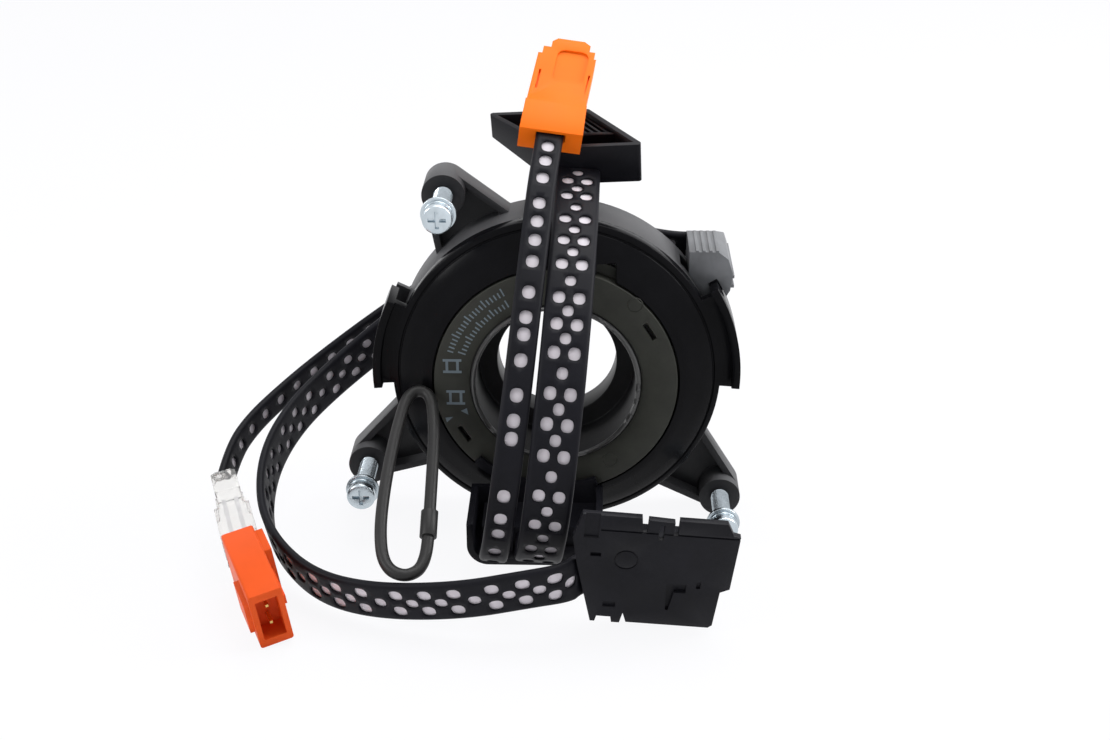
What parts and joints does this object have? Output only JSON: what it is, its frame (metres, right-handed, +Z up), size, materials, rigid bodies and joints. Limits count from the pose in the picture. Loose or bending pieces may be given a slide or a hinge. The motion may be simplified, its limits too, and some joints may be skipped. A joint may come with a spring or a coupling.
{
  "type": "steering clock spring",
  "caption": "Steering-wheel rotary contact: a shallow ribbon-cable drum with mounting ears, backed-out screws, perforated flat leads with plugs, and a loop of cord.",
  "frame": {"origin": "on the steering axis, in the back face that bolts to the steering column", "axes": "+Y along the steering axis away from the driver, +Z up"},
  "size_m": [0.1649, 0.1264, 0.1478],
  "materials": {
    "housing_black": "satin moulded plastic",
    "cover_black": "glossy moulded plastic",
    "outlet_grey": "matt moulded plastic",
    "rotor_black": "matt moulded plastic",
    "duct_black": "satin moulded plastic",
    "ribbon_film": "smooth polyester film",
    "slip_film": "low-friction film",
    "zinc_steel": "bright zinc plate",
    "strap_black": "matt perforated sleeve",
    "connector_black": "satin moulded plastic",
    "contact_brass": "bright contact metal",
    "plug_orange": "bright moulded plastic",
    "plug_salmon": "bright moulded plastic",
    "cap_clear": "clear moulded plastic",
    "cord_black": "smooth rubber cord"
  },
  "bodies": {
    "stator": {"rear_housing": "housing_black", "front_cover": "cover_black", "outlet_cover": "outlet_grey", "front_slip_sheet": "slip_film", "rear_slip_sheet": "slip_film", "column_wide_strap": "strap_black", "column_narrow_strap": "strap_black", "wheel_switch_connector": "connector_black", "wheel_switch_pins": "contact_brass", "wheel_airbag_plug": "plug_orange", "wheel_airbag_terminals": "contact_brass", "column_airbag_plug": "plug_salmon", "column_airbag_pins": "contact_brass", "column_airbag_cap": "cap_clear", "column_switch_connector": "connector_black", "column_switch_cover": "connector_black", "column_switch_terminals": "contact_brass", "cord_loop": "cord_black", "loop_sleeve": "cord_black"},
    "rotor": {"rotor_face": "rotor_black", "rotor_hub": "rotor_black", "lead_out_duct": "duct_black", "ribbon_coil": "ribbon_film", "wheel_wide_strap": "strap_black", "wheel_narrow_strap": "strap_black"},
    "upper_screw_set": {"upper_screw": "zinc_steel", "upper_washer": "zinc_steel", "upper_lock_washer": "zinc_steel"},
    "left_screw_set": {"left_screw": "zinc_steel", "left_washer": "zinc_steel", "left_lock_washer": "zinc_steel"},
    "right_screw_set": {"right_screw": "zinc_steel", "right_washer": "zinc_steel", "right_lock_washer": "zinc_steel"}
  },
  "joints": [
    {"name": "rotor_turn", "type": "hinge", "parent": "stator", "child": "rotor", "pos_m": [0, 0, 0], "axis": [0, 1, 0], "range_deg": [-720, 720], "deforming": ["wheel_wide_strap", "wheel_narrow_strap", "ribbon_coil", "cord_loop", "loop_sleeve"]},
    {"name": "upper_screw_travel", "type": "slide", "parent": "stator", "child": "upper_screw_set", "axis": [0, 1, 0], "range_m": [0, 0.0154]},
    {"name": "left_screw_travel", "type": "slide", "parent": "stator", "child": "left_screw_set", "axis": [0, 1, 0], "range_m": [0, 0.0154]},
    {"name": "right_screw_travel", "type": "slide", "parent": "stator", "child": "right_screw_set", "axis": [0, 1, 0], "range_m": [0, 0.0154]}
  ]
}
